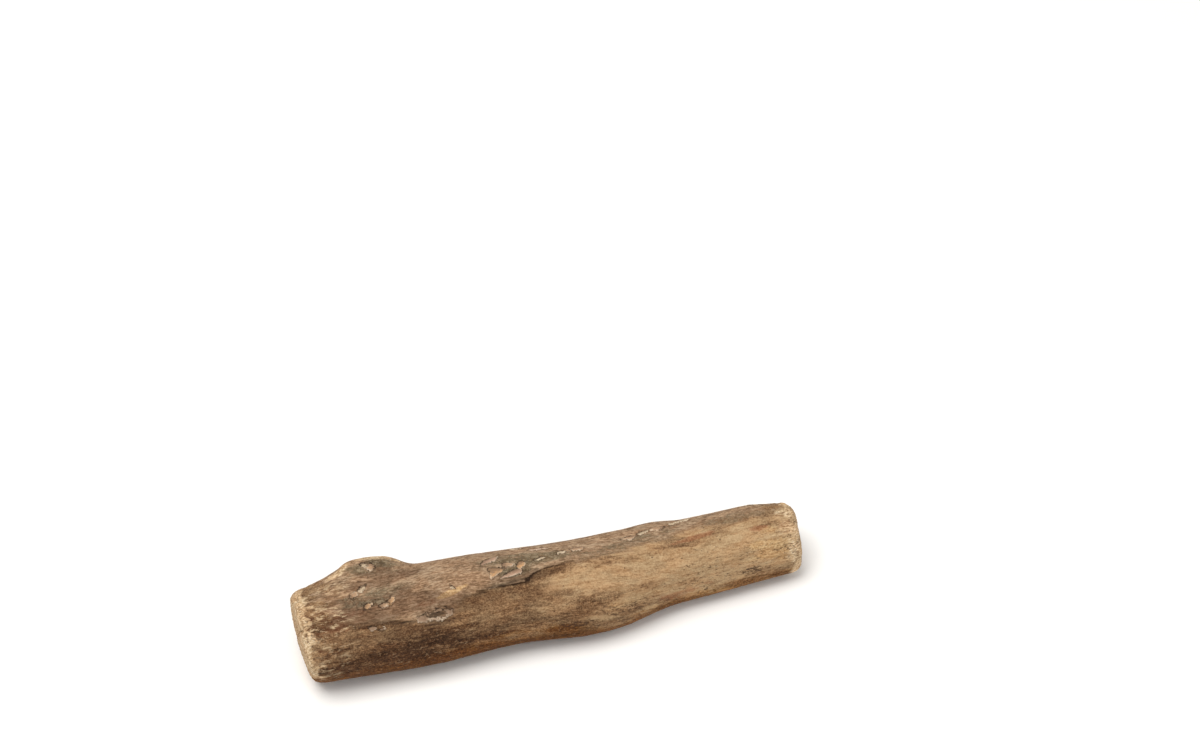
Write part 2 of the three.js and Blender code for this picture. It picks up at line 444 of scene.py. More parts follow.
@dataclass
class LimbSurface:
    """The limb's fine surface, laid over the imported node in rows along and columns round.

    Row 0 is a ring close round the middle of the thick end's face, and the last row is the same
    on the thin end. The rows between run out over the face, round the rim and along the flank.
    """

    node: bpy.types.Object
    round_steps: int = 272
    row_step_mm: float = 0.58
    cap_step_mm: float = 0.5
    cap_depth_mm: float = 14.0
    mean_radius_mm: float = 12.8
    pole_radius_mm: float = 0.3
    facet_blur_mm: float = 0.9
    xyz: np.ndarray = field(init=False)
    along: np.ndarray = field(init=False)
    round: np.ndarray = field(init=False)
    radius: np.ndarray = field(init=False)
    normal: np.ndarray = field(init=False)
    low: Vector = field(init=False)
    high: Vector = field(init=False)
    length: float = field(init=False)

    def __post_init__(self) -> None:
        """Measures the node and lays the surface over it."""
        self.low, self.high = (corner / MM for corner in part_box(self.node.name))
        self.length = self.high.x - self.low.x
        self.xyz = self._cast()
        self._measure()
        self.xyz = self.xyz + self._fullness()
        self._measure()

    def _fullness(self) -> np.ndarray:
        """How far each point moves so that the form is as full as it should be."""
        moved = np.zeros_like(self.xyz)
        for swell in SWELLS:
            along = (self.along - swell.along) / swell.half_along
            turn = turn_between(self.round, swell.round) / swell.half_round
            share = smoothstep(1.0, 0.0, np.hypot(along, turn))[:, :, None]
            moved += share * (swell.height * self.normal + np.array([swell.ahead, 0.0, 0.0]))
        return moved

    def core(self, along: np.ndarray) -> tuple[np.ndarray, np.ndarray]:
        """The core line's Y and Z at each place along the limb."""
        x, y, z = np.array(CORE_LINE, float).T
        return np.interp(along, x, y), np.interp(along, x, z)

    def _outline(self) -> list[tuple[float, float, float]]:
        """Where the rays start and what they aim at.

        Returns:
            For each row: the start's place along the limb, then the aim's place along it and the
            aim's distance from the core line.
        """
        depth = self.cap_depth_mm
        radius = self.mean_radius_mm
        face_rows = round(radius / self.cap_step_mm)
        face = np.linspace(self.pole_radius_mm, radius, face_rows, endpoint=False)
        side = np.linspace(0.0, depth, round(depth / self.cap_step_mm), endpoint=False)
        flank_rows = round((self.length - 2 * depth) / self.row_step_mm)
        flank = np.linspace(depth, self.length - depth, flank_rows + 1)
        rows = [(depth, 0.0, r) for r in face]
        rows += [(depth, x, radius) for x in side]
        rows += [(x, x, radius) for x in flank]
        far = self.length - depth
        rows += [(far, self.length - x, radius) for x in side[::-1]]
        rows += [(far, self.length, r) for r in face[::-1]]
        return rows

    def _cast(self) -> np.ndarray:
        """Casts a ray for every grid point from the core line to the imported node's surface."""
        mesh = self.node.data
        corners = [v.co / MM for v in mesh.vertices]
        tree = BVHTree.FromPolygons(corners, [p.vertices for p in mesh.polygons])
        angles = np.arange(self.round_steps) * (2 * math.pi / self.round_steps)
        rows = self._outline()
        starts = np.zeros((len(rows), 3))
        reach = np.zeros((len(rows), self.round_steps))
        aims = np.zeros((len(rows), self.round_steps, 3))
        for i, (start_x, aim_x, aim_r) in enumerate(rows):
            y, z = (float(v) for v in self.core(np.array(start_x)))
            starts[i] = (start_x + self.low.x, y, z)
            ahead = np.full(self.round_steps, aim_x - start_x)
            aim = np.stack([ahead, aim_r * np.cos(angles), aim_r * np.sin(angles)], axis=1)
            aims[i] = aim / np.linalg.norm(aim, axis=1, keepdims=True)
            start = Vector(starts[i])
            for j in range(self.round_steps):
                _, _, _, distance = tree.ray_cast(start, Vector(aims[i, j]))
                reach[i, j] = distance if distance is not None else aim_r
        reach = blurred(reach, self.facet_blur_mm / self.cap_step_mm, 0, False)
        round_step_mm = 2 * math.pi * self.mean_radius_mm / self.round_steps
        reach = blurred(reach, self.facet_blur_mm / round_step_mm, 1, True)
        return starts[:, None, :] + aims * reach[:, :, None]

    def _measure(self) -> None:
        """Works out each point's place along, angle round, distance from the core and normal."""
        x, y, z = np.moveaxis(self.xyz, 2, 0)
        self.along = x - self.low.x
        core_y, core_z = self.core(self.along)
        self.round = np.degrees(np.arctan2(z - core_z, y - core_y))
        self.radius = np.hypot(y - core_y, z - core_z)
        ahead = np.gradient(self.xyz, axis=0)
        wrapped = np.concatenate([self.xyz[:, -1:], self.xyz, self.xyz[:, :1]], axis=1)
        across = np.gradient(wrapped, axis=1)[:, 1:-1]
        normal = np.cross(across, ahead)
        self.normal = normal / np.linalg.norm(normal, axis=2, keepdims=True)

    def straight_grain(self) -> np.ndarray:
        """Coordinates in millimetres in which the grain runs straight along the first axis.

        Near a knot the grain bows out round it, as a stream does round a stone.
        """
        shift = np.zeros_like(self.along)
        for knot in KNOTS:
            ahead = self.along - knot.along
            across = np.radians(turn_between(self.round, knot.round)) * self.mean_radius_mm
            softened = ahead**2 + across**2 + 0.6 * knot.radius**2
            shift -= across * knot.radius**2 / softened
        turned = np.interp(self.along, *np.array(GRAIN_TURN, float).T)
        angle = np.radians(self.round - turned) + shift / self.mean_radius_mm
        return np.stack(
            [self.along, self.radius * np.cos(angle), self.radius * np.sin(angle)], axis=2
        )

    def mesh(self, name: str, attributes: dict[str, np.ndarray]) -> bpy.types.Mesh:
        """Builds the closed mesh, with a pole at the middle of each end face.

        Args:
            name: The mesh's name.
            attributes: A number, or three, for every grid point.

        Returns:
            The mesh in metres, with every attribute on its vertices.
        """
        rows, columns = self.along.shape
        poles = self.xyz[[0, -1]].mean(axis=1)
        vertices = np.concatenate([self.xyz.reshape(-1, 3), poles]) * MM
        index = np.arange(rows * columns).reshape(rows, columns)
        after = np.roll(index, -1, axis=1)
        quads = np.stack([index[:-1], after[:-1], after[1:], index[1:]], axis=2).reshape(-1, 4)
        thick, thin = rows * columns, rows * columns + 1
        faces = quads.tolist()
        faces += [[thick, b, a] for a, b in zip(index[0].tolist(), after[0].tolist())]
        faces += [[thin, a, b] for a, b in zip(index[-1].tolist(), after[-1].tolist())]
        mesh = bpy.data.meshes.new(name)
        mesh.from_pydata(vertices.tolist(), [], faces)
        for label, values in attributes.items():
            size = values.shape[2] if values.ndim == 3 else 1
            flat = values.reshape(rows * columns, size)
            ends = np.stack([v.reshape(columns, size).mean(axis=0) for v in values[[0, -1]]])
            data = np.concatenate([flat, ends]).astype(np.float32)
            kind, slot = ("FLOAT_VECTOR", "vector") if size == 3 else ("FLOAT", "value")
            mesh.attributes.new(label, kind, "POINT").data.foreach_set(slot, data.ravel())
        mesh.polygons.foreach_set("use_smooth", [True] * len(mesh.polygons))
        mesh.update()
        return mesh


@dataclass
class Weathering:
    """Says, for every point of a limb's surface, how it has weathered and where shade and
    highlights are painted on it.
    """

    surface: LimbSurface
    thick_rim_mm: float = 5.2
    thin_rim_mm: float = 5.2
    edge_reach_mm: float = 3.0
    underside_from: float = 188.0
    underside_to: float = 326.0
    straight: np.ndarray = field(init=False)
    fields: dict[Mask | Edge, np.ndarray] = field(default_factory=dict)

    def __post_init__(self) -> None:
        """Works out every mask and edge, from the broad ones to the small ones."""
        self.straight = self.surface.straight_grain()
        self.fields = {mask: np.zeros_like(self.surface.along) for mask in Mask}
        for edge in Edge:
            self.fields[edge] = np.full_like(self.surface.along, -self.edge_reach_mm)
        self._end_faces()
        self._cracks()
        self._bark_skin()
        self._underside()
        for patch in PATCHES:
            self._patch(patch)
        for flake in FLAKES:
            self._flake(flake)
        self._keep_apart()

    def ripple(self, stretch: float, size: float, seed: float, octaves: int = 3) -> np.ndarray:
        """Smooth noise from about -1 to 1 at every point, drawn out along the grain.

        Args:
            stretch: How many times longer than wide the noise is.
            size: The width of its waves, in millimetres.
            seed: Moves the noise, so that two calls differ.
            octaves: How many layers, each half the size of the one before.

        Returns:
            A value for each grid point.
        """
        scaled = self.straight / np.array([size * stretch, size, size]) + seed
        flat = scaled.reshape(-1, 3)
        values = [noise.fractal(point, 1.0, 2.0, octaves) for point in flat.tolist()]
        return np.array(values).reshape(self.surface.along.shape) * 1.6

    def _from_end(self) -> np.ndarray:
        """How far each point is from the nearer end."""
        return np.minimum(self.surface.along, self.surface.length - self.surface.along)

    def _end_faces(self) -> None:
        """Marks the sawn faces and their worn rims."""
        facing = np.abs(self.surface.normal[:, :, 0])
        uneven = 0.14 * self.ripple(1.5, 2.4, 11.0)
        self.fields[Mask.END_GRAIN] = smoothstep(0.6, 0.88, facing + uneven)
        end = self._from_end()
        lobes = 0.4 * self.ripple(1.2, 4.2, 17.0) + 0.28 * self.ripple(2.4, 1.3, 18.0)
        own_end = self.surface.along < self.surface.length / 2
        reach = np.where(own_end, self.thick_rim_mm, self.thin_rim_mm) * (1.0 + lobes)
        self.fields[Mask.WORN] = smoothstep(1.3, 0.4, end / np.maximum(reach, 0.5))
        self.fields[Mask.FLANK] = smoothstep(1.5, 9.0, end + 1.5 * self.ripple(1.0, 3.0, 19.0))

    def _cracks(self) -> None:
        """Marks the drying cracks in the end faces."""
        surface = self.surface
        wander = 5.0 * self.ripple(1.0, 4.0, 23.0)
        near_face = smoothstep(10.0, 3.0, self._from_end())
        for crack in CRACKS:
            own_end = surface.along < surface.length / 2
            here = own_end if crack.thick_end else ~own_end
            turn = turn_between(surface.round + wander, crack.towards)
            aside = np.radians(np.abs(turn)) * surface.radius
            taper = smoothstep(crack.inner, crack.inner + 2.5, surface.radius)
            taper = taper * smoothstep(crack.outer + 1.5, crack.outer - 2.0, surface.radius)
            inside = crack.width * (2.0 * taper * near_face - 1.0) - aside
            inside = np.where(here & (np.abs(turn) < 60), inside, -self.edge_reach_mm)
            self.fields[Edge.CRACK] = np.maximum(self.fields[Edge.CRACK], inside)

    def _bark_skin(self) -> None:
        """Finds the edge of the thin bark skin that is left along the crown."""
        surface = self.surface
        ragged = 2.4 * self.ripple(3.0, 2.6, 31.0, 4)
        near = np.interp(surface.along, *np.array(SKIN_NEAR_EDGE, float).T)
        far = np.interp(surface.along, *np.array(SKIN_FAR_EDGE, float).T)
        turn = turn_between(surface.round, 60.0) + 60.0
        crisp = np.interp(surface.along, *np.array(EDGE_CRISPNESS, float).T)
        waver = 0.2 * self.ripple(4.0, 3.0, 39.0)
        self.fields[Mask.CRISP] = np.where(turn > 20.0, crisp, 0.45) + waver
        inside = np.minimum(near + ragged - turn, turn - far + 2.5 * ragged)
        inside_mm = np.radians(inside) * surface.mean_radius_mm
        from_end = self._from_end() - 9.0 + 5.0 * self.ripple(2.5, 2.2, 37.0)
        inside_mm = np.minimum(inside_mm, from_end)
        self.fields[Edge.SKIN] = np.clip(inside_mm, -self.edge_reach_mm, self.edge_reach_mm)

    def _underside(self) -> None:
        """Darkens the side that the limb lies on: a stain that is partly painted shade, and a warm
        tint that is painted shade and warm bounce light.
        """
        middle = (self.underside_from + self.underside_to) / 2
        half = (self.underside_to - self.underside_from) / 2
        turn = np.abs(turn_between(self.surface.round, middle)) + 8.0 * self.ripple(6.0, 3.5, 43.0)
        thinner = smoothstep(74.0, 100.0, self.surface.along)
        under = smoothstep(half + 14.0, half - 14.0, turn + 12.0 * thinner)
        # painted shade and warm bounce light under the limb
        self.fields[Mask.UNDER] = under * (1.0 - 0.3 * thinner)
        # stain on the underside, partly painted shade
        self.fields[Mask.STAIN] = 0.62 * under * (1.0 - 0.5 * thinner)

    def _patch(self, patch: Patch) -> None:
        """Adds one soft oval to its mask."""
        surface = self.surface
        along = surface.along - patch.along
        turn = turn_between(surface.round, patch.round) - patch.slope * along
        seed = 3.1 * patch.along + 0.7 * patch.round
        far = np.hypot(along / patch.half_along, turn / patch.half_round)
        far += 0.5 * patch.ragged * self.ripple(4.0, 2.8, seed)
        found = patch.strength * smoothstep(1.15, 0.35, far)
        self.fields[patch.mask] = np.maximum(self.fields[patch.mask], found)

    def _flake(self, flake: Flake) -> None:
        """Finds the edge of one scrap of bark, an uneven shape with a few straight sides."""
        surface = self.surface
        along = surface.along - flake.along
        across = -np.radians(turn_between(surface.round, flake.round)) * surface.mean_radius_mm
        near = (np.abs(along) < flake.length + 3) & (np.abs(across) < flake.width + 3)
        if not near.any():
            return
        slope = math.radians(flake.turn)
        a = along[near] * math.cos(slope) + across[near] * math.sin(slope)
        b = across[near] * math.cos(slope) - along[near] * math.sin(slope)
        rng = np.random.default_rng(round(10 * flake.along + flake.length))
        turns = np.arange(flake.corners) + rng.uniform(-0.25, 0.25, flake.corners)
        angles = turns * 2 * math.pi / flake.corners
        reach = rng.uniform(0.5, 1.2, flake.corners) if flake.corners > 3 else np.full(3, 1.25)
        corners = np.stack([flake.length * np.cos(angles), flake.width * np.sin(angles)], axis=1)
        corners = corners * reach[:, None] / 1.8
        inside = depth_inside(a, b, corners)
        if flake.hole:
            inside = np.minimum(inside, -depth_inside(a, b, corners * flake.hole))
        points = self.straight[near] / np.array([1.2, 0.7, 0.7]) + 5.3 * flake.along
        rough = np.array([noise.fractal(p, 0.8, 2.0, 4) for p in points.tolist()])
        rough *= 0.6 if flake.hole else 0.16
        inside = np.clip(inside + rough, -self.edge_reach_mm, self.edge_reach_mm)
        kept = self.fields[Edge.FLAKE][near]
        own = inside > kept
        high = rng.uniform(-math.pi, 0.3)
        rise = 2 * (a * math.cos(high) / flake.length + b * math.sin(high) / flake.width)
        lift = 0.55 + 0.45 * np.clip(rise, -1, 1)
        self.fields[Edge.FLAKE][near] = np.where(own, inside, kept)
        self.fields[Mask.LIFT][near] = np.where(own, lift, self.fields[Mask.LIFT][near])
        tone = self.fields[Mask.FLAKE_TONE][near]
        self.fields[Mask.FLAKE_TONE][near] = np.where(own, flake.tone.value, tone)

    def _keep_apart(self) -> None:
        """Keeps stain and bare wood off the skin, and skin and flakes off the end faces."""
        skin = smoothstep(-0.3, 0.3, self.fields[Edge.SKIN])
        face = self.fields[Mask.END_GRAIN]
        for mask in (Mask.STAIN, Mask.BARE, Mask.FLECK):
            self.fields[mask] *= (1.0 - 0.85 * skin) * (1.0 - face)
        for mask in (Mask.GREY, Mask.SLATE, Mask.FRAY):
            self.fields[mask] *= 1.0 - face
        for mask in Mask:
            self.fields[mask] = np.clip(self.fields[mask], 0.0, 1.0)

    def attributes(self) -> dict[str, np.ndarray]:
        """Every mask and edge by its attribute's name, and the straight grain coordinates."""
        return {GRAIN: self.straight} | {key.value: f for key, f in self.fields.items()}


Socket = bpy.types.NodeSocket
Feed = Socket | float | tuple

# Where the pith lies in the straight grain coordinates, in Y and Z, and how wide a ring is
PITH_MM = (0.6, -0.5)
RING_MM = 1.25
# How far the rings bend, and in how many waves a millimetre
RING_BEND_MM = 3.4
RING_BEND_WAVES = 0.16
# The smallest dot as a share of the largest, and how soft a dot's edge is
SMALLEST_DOT = 0.35
DOT_SOFTNESS = 0.06
MOST_PITS_PER_M2 = 400000.0


class NodeBench:
    """Lays out and joins the nodes of one tree, of a material or of Geometry Nodes."""

    def __init__(self, tree: bpy.types.NodeTree) -> None:
        """Works on the given tree."""
        self.tree = tree
        self.is_geometry = tree.bl_idname == "GeometryNodeTree"

    @cached_property
    def grain(self) -> Socket:
        """The straight grain coordinates, in millimetres."""
        return self.read(GRAIN, vector=True)

    def add(
        self, kind: str, feeds: dict[int | str, Feed] | None = None, **settings: str
    ) -> bpy.types.Node:
        """Makes one node.

        Args:
            kind: The node's type.
            feeds: What goes into its inputs, by name or number.
            settings: The node's own properties.

        Returns:
            The node.
        """
        node = self.tree.nodes.new(kind)
        for name, value in settings.items():
            setattr(node, name, value)
        for key, feed in (feeds or {}).items():
            self.plug(feed, node.inputs[key])
        return node

    def plug(self, feed: Feed, socket: Socket) -> None:
        """Joins a socket to an input, or sets the input's own value."""
        if isinstance(feed, bpy.types.NodeSocket):
            self.tree.links.new(feed, socket)
        else:
            socket.default_value = feed

    def math(self, operation: str, a: Feed, b: Feed = 0.0) -> Socket:
        """One step of arithmetic."""
        return self.add("ShaderNodeMath", {0: a, 1: b}, operation=operation).outputs[0]

    def total(self, *terms: Feed) -> Socket:
        """The sum of several values."""
        result = terms[0]
        for term in terms[1:]:
            result = self.math("ADD", result, term)
        return result

    def product(self, *factors: Feed) -> Socket:
        """The product of several values."""
        result = factors[0]
        for factor in factors[1:]:
            result = self.math("MULTIPLY", result, factor)
        return result

    def rise(
        self, value: Feed, low: Feed, high: Feed, to_low: float = 0.0, to_high: float = 1.0
    ) -> Socket:
        """Maps low to to_low and high to to_high, smoothly, and holds past them."""
        feeds = {0: value, 1: low, 2: high, 3: to_low, 4: to_high}
        node = self.add("ShaderNodeMapRange", feeds, interpolation_type="SMOOTHSTEP")
        return node.outputs[0]

    def vector(self, operation: str, *feeds: Feed) -> Socket:
        """One step of arithmetic on vectors."""
        node = self.add("ShaderNodeVectorMath", dict(enumerate(feeds)), operation=operation)
        return node.outputs[0]

    def drawn_out(self, along: float, across: float) -> Socket:
        """The grain coordinates, scaled by one amount along the grain and another across it."""
        return self.vector("MULTIPLY", self.grain, (along, across, across))

    def noise(
        self, vector: Feed, scale: Feed, detail: float = 3.0, rough: float = 0.55
    ) -> Socket:
        """Layered noise from 0 to 1 with its middle at a half."""
        feeds = {"Vector": vector, "Scale": scale, "Detail": detail, "Roughness": rough}
        return self.add("ShaderNodeTexNoise", feeds).outputs[0]

    def grain_noise(
        self, along: float, across: float, detail: float = 3.0, rough: float = 0.55
    ) -> Socket:
        """Layered noise on the grain coordinates, longer along the grain than across it."""
        return self.noise(self.drawn_out(along, across), 1.0, detail, rough)

    def dots(self, vector: Feed, radius: float, share: Feed) -> Socket:
        """Scattered round dots: 1 in a dot and 0 between, in the given share of the cells."""
        cells = self.add("ShaderNodeTexVoronoi", {"Vector": vector, "Scale": 1.0})
        draws = self.add("ShaderNodeSeparateColor", {0: cells.outputs["Color"]}).outputs
        reach = self.rise(draws[1], 0.0, 1.0, SMALLEST_DOT * radius, radius)
        inside = self.math("SUBTRACT", reach, cells.outputs["Distance"])
        dot = self.rise(inside, -DOT_SOFTNESS, DOT_SOFTNESS)
        return self.product(dot, self.math("LESS_THAN", draws[0], share))

    def warped(self, vector: Feed, reach: float) -> Socket:
        """A vector pushed about by noise, so that a pattern laid on it is uneven."""
        push = self.add("ShaderNodeTexNoise", {"Vector": vector, "Scale": 1.4, "Detail": 2.0})
        centred = self.vector("SUBTRACT", push.outputs["Color"], (0.5, 0.5, 0.5))
        return self.vector("MULTIPLY_ADD", centred, (reach, reach, reach), vector)

    def cells(self, vector: Feed) -> tuple[Socket, Socket]:
        """Angular cells: a number from 0 to 1 for each, and how far its border is."""
        feeds = {"Vector": vector, "Scale": 1.0}
        cell = self.add("ShaderNodeTexVoronoi", feeds)
        border = self.add("ShaderNodeTexVoronoi", feeds, feature="DISTANCE_TO_EDGE")
        draw = self.add("ShaderNodeSeparateColor", {0: cell.outputs["Color"]}).outputs[0]
        return draw, border.outputs["Distance"]

    def read(self, key: Mask | Edge | str, vector: bool = False) -> Socket:
        """An attribute of the mesh."""
        name = key if isinstance(key, str) else key.value
        if self.is_geometry:
            kind = "FLOAT_VECTOR" if vector else "FLOAT"
            node = self.add("GeometryNodeInputNamedAttribute", {"Name": name}, data_type=kind)
            return node.outputs["Attribute"]
        node = self.add("ShaderNodeAttribute", attribute_name=name)
        return node.outputs["Vector" if vector else "Fac"]

    def mix(self, share: Feed, a: Feed, b: Feed | Colour, blend: str = "MIX") -> Socket:
        """One colour laid over another."""
        node = self.add("ShaderNodeMix", data_type="RGBA", blend_type=blend)
        top = b if isinstance(b, bpy.types.NodeSocket) else srgb(b)
        for feed, number in ((share, 0), (a, 6), (top, 7)):
            self.plug(feed, node.inputs[number])
        return node.outputs[2]

    def layers(self, colour: Socket, *tops: tuple[Feed, Feed | Colour]) -> Socket:
        """Colours laid over the first one in order, each with its share."""
        for share, top in tops:
            colour = self.mix(share, colour, top)
        return colour

    def ramp(self, share: Feed, colours: tuple[Colour, ...]) -> Socket:
        """A colour ramp through evenly spaced display colours."""
        node = self.add("ShaderNodeValToRGB", {0: share})
        elements = node.color_ramp.elements
        while len(elements) < len(colours):
            elements.new(0.5)
        for i, (element, colour) in enumerate(zip(elements, colours)):
            element.position = i / (len(colours) - 1)
            element.color = srgb(colour)
        return node.outputs[0]

    def rings(self, width: Feed) -> Socket:
        """Growth rings from -1 to 1, uneven, about a pith that is off the middle."""
        centred = self.vector("SUBTRACT", self.grain, (0.0, *PITH_MM))
        flat = self.vector("MULTIPLY", centred, (0.0, 1.0, 1.0))
        length = self.add("ShaderNodeVectorMath", {0: flat}, operation="LENGTH").outputs["Value"]
        bend = self.product(self.noise(flat, RING_BEND_WAVES), RING_BEND_MM)
        turns = self.math("DIVIDE", self.total(length, bend), width)
        return self.math("SINE", self.product(turns, 2 * math.pi))


@dataclass(frozen=True)
class ReliefSizes:
    """The heights and widths of the surface's relief, in millimetres."""

    swell_height: float = 0.5
    swell_width: float = 7.0
    grain_height: float = 0.3
    grain_width: float = 1.1
    fine_height: float = 0.16
    fine_width: float = 0.5
    knob_height: float = 0.9
    knob_width: float = 2.4
    fray_height: float = 0.7
    skin_height: float = 0.3
    flake_height: float = 0.26
    gap_depth: float = 0.22
    crevice_depth: float = 0.3
    slate_depth: float = 0.3
    crack_depth: float = 1.1
    ring_height: float = 0.06
    ring_width: float = RING_MM
    pit_radius: float = 0.8
    pit_depth: float = 0.3
    pit_spacing: float = 3.2


@dataclass
class WeatheredRelief:
    """The Geometry Nodes that raise and cut the limb's weathered surface."""

    sizes: ReliefSizes = ReliefSizes()
    seed: int = 7

    def _inputs(self) -> dict[str, float | int]:
        """The tree's inputs by name, with the value of each."""
        sizes = {name.replace("_", " ").title(): v for name, v in vars(self.sizes).items()}
        return sizes | {"Seed": self.seed}

    def _tree(self, material: bpy.types.Material) -> bpy.types.NodeTree:
        """Builds the tree, with an input for each size.

        Args:
            material: The finish that the surface leaves the tree with.

        Returns:
            The Geometry Nodes tree.
        """
        tree = bpy.data.node_groups.new("weathered_relief", "GeometryNodeTree")
        face = tree.interface
        face.new_socket("Geometry", in_out="INPUT", socket_type="NodeSocketGeometry")
        face.new_socket("Geometry", in_out="OUTPUT", socket_type="NodeSocketGeometry")
        for name in self._inputs():
            kind = "NodeSocketInt" if name == "Seed" else "NodeSocketFloat"
            face.new_socket(name, in_out="INPUT", socket_type=kind)
        bench = NodeBench(tree)
        given = bench.add("NodeGroupInput").outputs
        height = bench.math("SUBTRACT", self._raised(bench, given), self._cut(bench, given))
        normal = bench.add("GeometryNodeInputNormal").outputs[0]
        offset = bench.add(
            "ShaderNodeVectorMath", {0: normal, 3: bench.product(height, MM)}, operation="SCALE"
        )
        moved = bench.add(
            "GeometryNodeSetPosition",
            {"Geometry": given["Geometry"], "Offset": offset.outputs[0]},
        )
        real = bench.add("GeometryNodeRealizeInstances", {"Geometry": moved.outputs[0]})
        dressed = bench.add(
            "GeometryNodeSetMaterial", {"Geometry": real.outputs[0], "Material": material}
        )
        bench.add("NodeGroupOutput", {0: dressed.outputs[0]})
        return tree

    def _waves(
        self, bench: NodeBench, width: Feed, stretch: float, detail: float, rough: float = 0.55
    ) -> Socket:
        """Noise about zero whose waves are as wide as asked, and longer along the grain."""
        scale = bench.math("DIVIDE", 1.0, width)
        waves = bench.noise(bench.drawn_out(1.0 / stretch, 1.0), scale, detail, rough)
        return bench.math("SUBTRACT", waves, 0.5)

    def _raised(self, bench: NodeBench, given: bpy.types.NodeOutputs) -> Socket:
        """What stands out: ridges, bark skin, flakes, frayed fibres, rim knobs and rings."""
        end = bench.read(Mask.END_GRAIN)
        flank = bench.read(Mask.FLANK)
        crisp = bench.read(Mask.CRISP)
        skin = bench.rise(bench.read(Edge.SKIN), bench.rise(crisp, 0.0, 0.5, -2.5, -0.3), 0.2)
        flake = bench.rise(bench.read(Edge.FLAKE), -0.25, 0.15)
        swell = bench.product(
            self._waves(bench, given["Swell Width"], 2.2, 2.0), given["Swell Height"]
        )
        ridges = bench.product(
            self._waves(bench, given["Grain Width"], 4.5, 4.0, 0.6), given["Grain Height"],
            flank, bench.rise(skin, 0.0, 1.0, 1.0, 0.55),
        )
        fine = bench.product(
            self._waves(bench, given["Fine Width"], 2.8, 2.0, 0.6), given["Fine Height"],
            bench.rise(end, 0.0, 1.0, 1.0, 0.5),
        )
        knobs = bench.product(
            self._waves(bench, given["Knob Width"], 1.3, 4.0, 0.6), given["Knob Height"],
            bench.rise(flank, 0.0, 1.0, 1.0, 0.0), bench.rise(end, 0.0, 1.0, 1.0, 0.45),
        )
        fray = bench.product(
            self._waves(bench, given["Grain Width"], 3.5, 4.0, 0.7), bench.read(Mask.FRAY),
            given["Fray Height"],
        )
        rings = bench.product(bench.rings(given["Ring Width"]), given["Ring Height"], end)
        lift = bench.product(flake, given["Flake Height"], bench.read(Mask.LIFT))
        return bench.total(
            swell, ridges, fine, knobs, fray, rings, lift, bench.product(skin, given["Skin Height"])
        )

    def _cut(self, bench: NodeBench, given: bpy.types.NodeOutputs) -> Socket:
        """What is cut in: gaps by the flakes and the skin's edge, slots, cracks and pits."""
        flake = bench.read(Edge.FLAKE)
        gap = bench.product(bench.rise(flake, -0.7, -0.25), bench.rise(flake, 0.1, -0.15))
        skin = bench.math("ABSOLUTE", bench.math("ADD", bench.read(Edge.SKIN), 0.35))
        crevice = bench.product(bench.rise(skin, 0.7, 0.1), bench.read(Mask.CRISP))
        return bench.total(
            bench.product(gap, given["Gap Depth"]),
            bench.product(crevice, given["Crevice Depth"]),
            bench.product(bench.read(Mask.SLATE), given["Slate Depth"]),
            bench.product(bench.rise(bench.read(Edge.CRACK), -0.35, 0.1), given["Crack Depth"]),
            bench.product(self._pits(bench, given), given["Pit Depth"]),
        )

    def _pits(self, bench: NodeBench, given: bpy.types.NodeOutputs) -> Socket:
        """Small dents scattered over the surface, thickest where the specks gather."""
        likely = bench.rise(bench.read(Mask.FLECK), 0.0, 0.8, 0.12, 1.0)
        spread = bench.add(
            "GeometryNodeDistributePointsOnFaces",
            {"Mesh": given["Geometry"], "Seed": given["Seed"], "Density Factor": likely},
            distribute_method="POISSON",
        )
        bench.plug(bench.product(given["Pit Spacing"], MM), spread.inputs["Distance Min"])
        bench.plug(MOST_PITS_PER_M2, spread.inputs["Density Max"])
        near = bench.add(
            "GeometryNodeProximity", {"Geometry": spread.outputs["Points"]}, target_element="POINTS"
        )
        radius = bench.product(given["Pit Radius"], MM)
        away = bench.math("DIVIDE", near.outputs["Distance"], radius)
        return bench.rise(away, 1.0, 0.2)

    def carve(self, piece: bpy.types.Object, material: bpy.types.Material) -> None:
        """Runs the tree on a piece and makes the result its plain mesh.

        Args:
            piece: The piece, with its masks and edges as attributes.
            material: Its finish.
        """
        modifier = piece.modifiers.new("relief", "NODES")
        tree = self._tree(material)
        modifier.node_group = tree
        values = self._inputs()
        for item in tree.interface.items_tree:
            if item.in_out == "INPUT" and item.name in values:
                modifier[item.identifier] = values[item.name]
        piece.update_tag()
        graph = bpy.context.evaluated_depsgraph_get()
        carved = bpy.data.meshes.new_from_object(piece.evaluated_get(graph))
        piece.modifiers.remove(modifier)
        piece.data = carved


